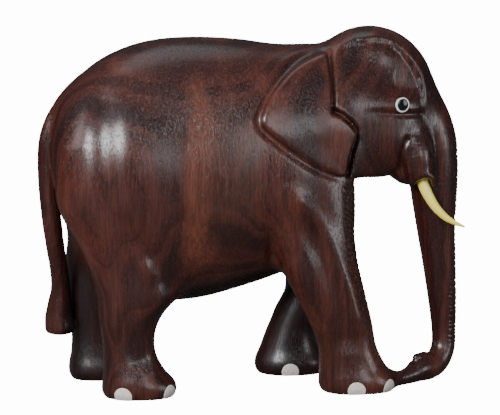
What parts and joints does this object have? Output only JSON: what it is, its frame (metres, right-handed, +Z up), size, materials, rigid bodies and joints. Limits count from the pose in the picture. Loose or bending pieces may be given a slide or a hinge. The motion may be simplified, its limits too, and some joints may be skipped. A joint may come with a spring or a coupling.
{
  "type": "carved elephant figurine",
  "caption": "Carved dark wood elephant in a walking pose, trunk curled down to one foot, with inlaid eyes, tusks and toenails.",
  "frame": {"origin": "on the plane the feet stand on, below the middle of the model's box", "axes": "+X towards the head, +Y to the elephant's left, +Z up"},
  "size_m": [0.1776, 0.0704, 0.1505],
  "materials": {
    "rosewood": "hand carved, stained dark red-brown, waxed to a satin gloss",
    "tusk_ivory": "ivory-coloured resin, polished",
    "nail_white": "off-white, sanded with the wood",
    "eye_white": "glossy",
    "eye_black": "polished"
  },
  "bodies": {
    "root": {"carved_body": "rosewood", "right_tusk": "tusk_ivory", "left_tusk": "tusk_ivory", "right_eye_ring": "eye_white", "left_eye_ring": "eye_white", "right_eye_bead": "eye_black", "left_eye_bead": "eye_black", "front_right_outer_side_nail": "nail_white", "front_right_outer_corner_nail": "nail_white", "front_right_inner_side_nail": "nail_white", "front_left_outer_side_nail": "nail_white", "front_left_outer_corner_nail": "nail_white", "front_left_inner_corner_nail": "nail_white", "front_left_inner_side_nail": "nail_white", "hind_right_outer_side_nail": "nail_white", "hind_right_outer_corner_nail": "nail_white", "hind_right_inner_corner_nail": "nail_white", "hind_left_outer_side_nail": "nail_white", "hind_left_outer_corner_nail": "nail_white", "hind_left_inner_corner_nail": "nail_white"}
  },
  "joints": []
}
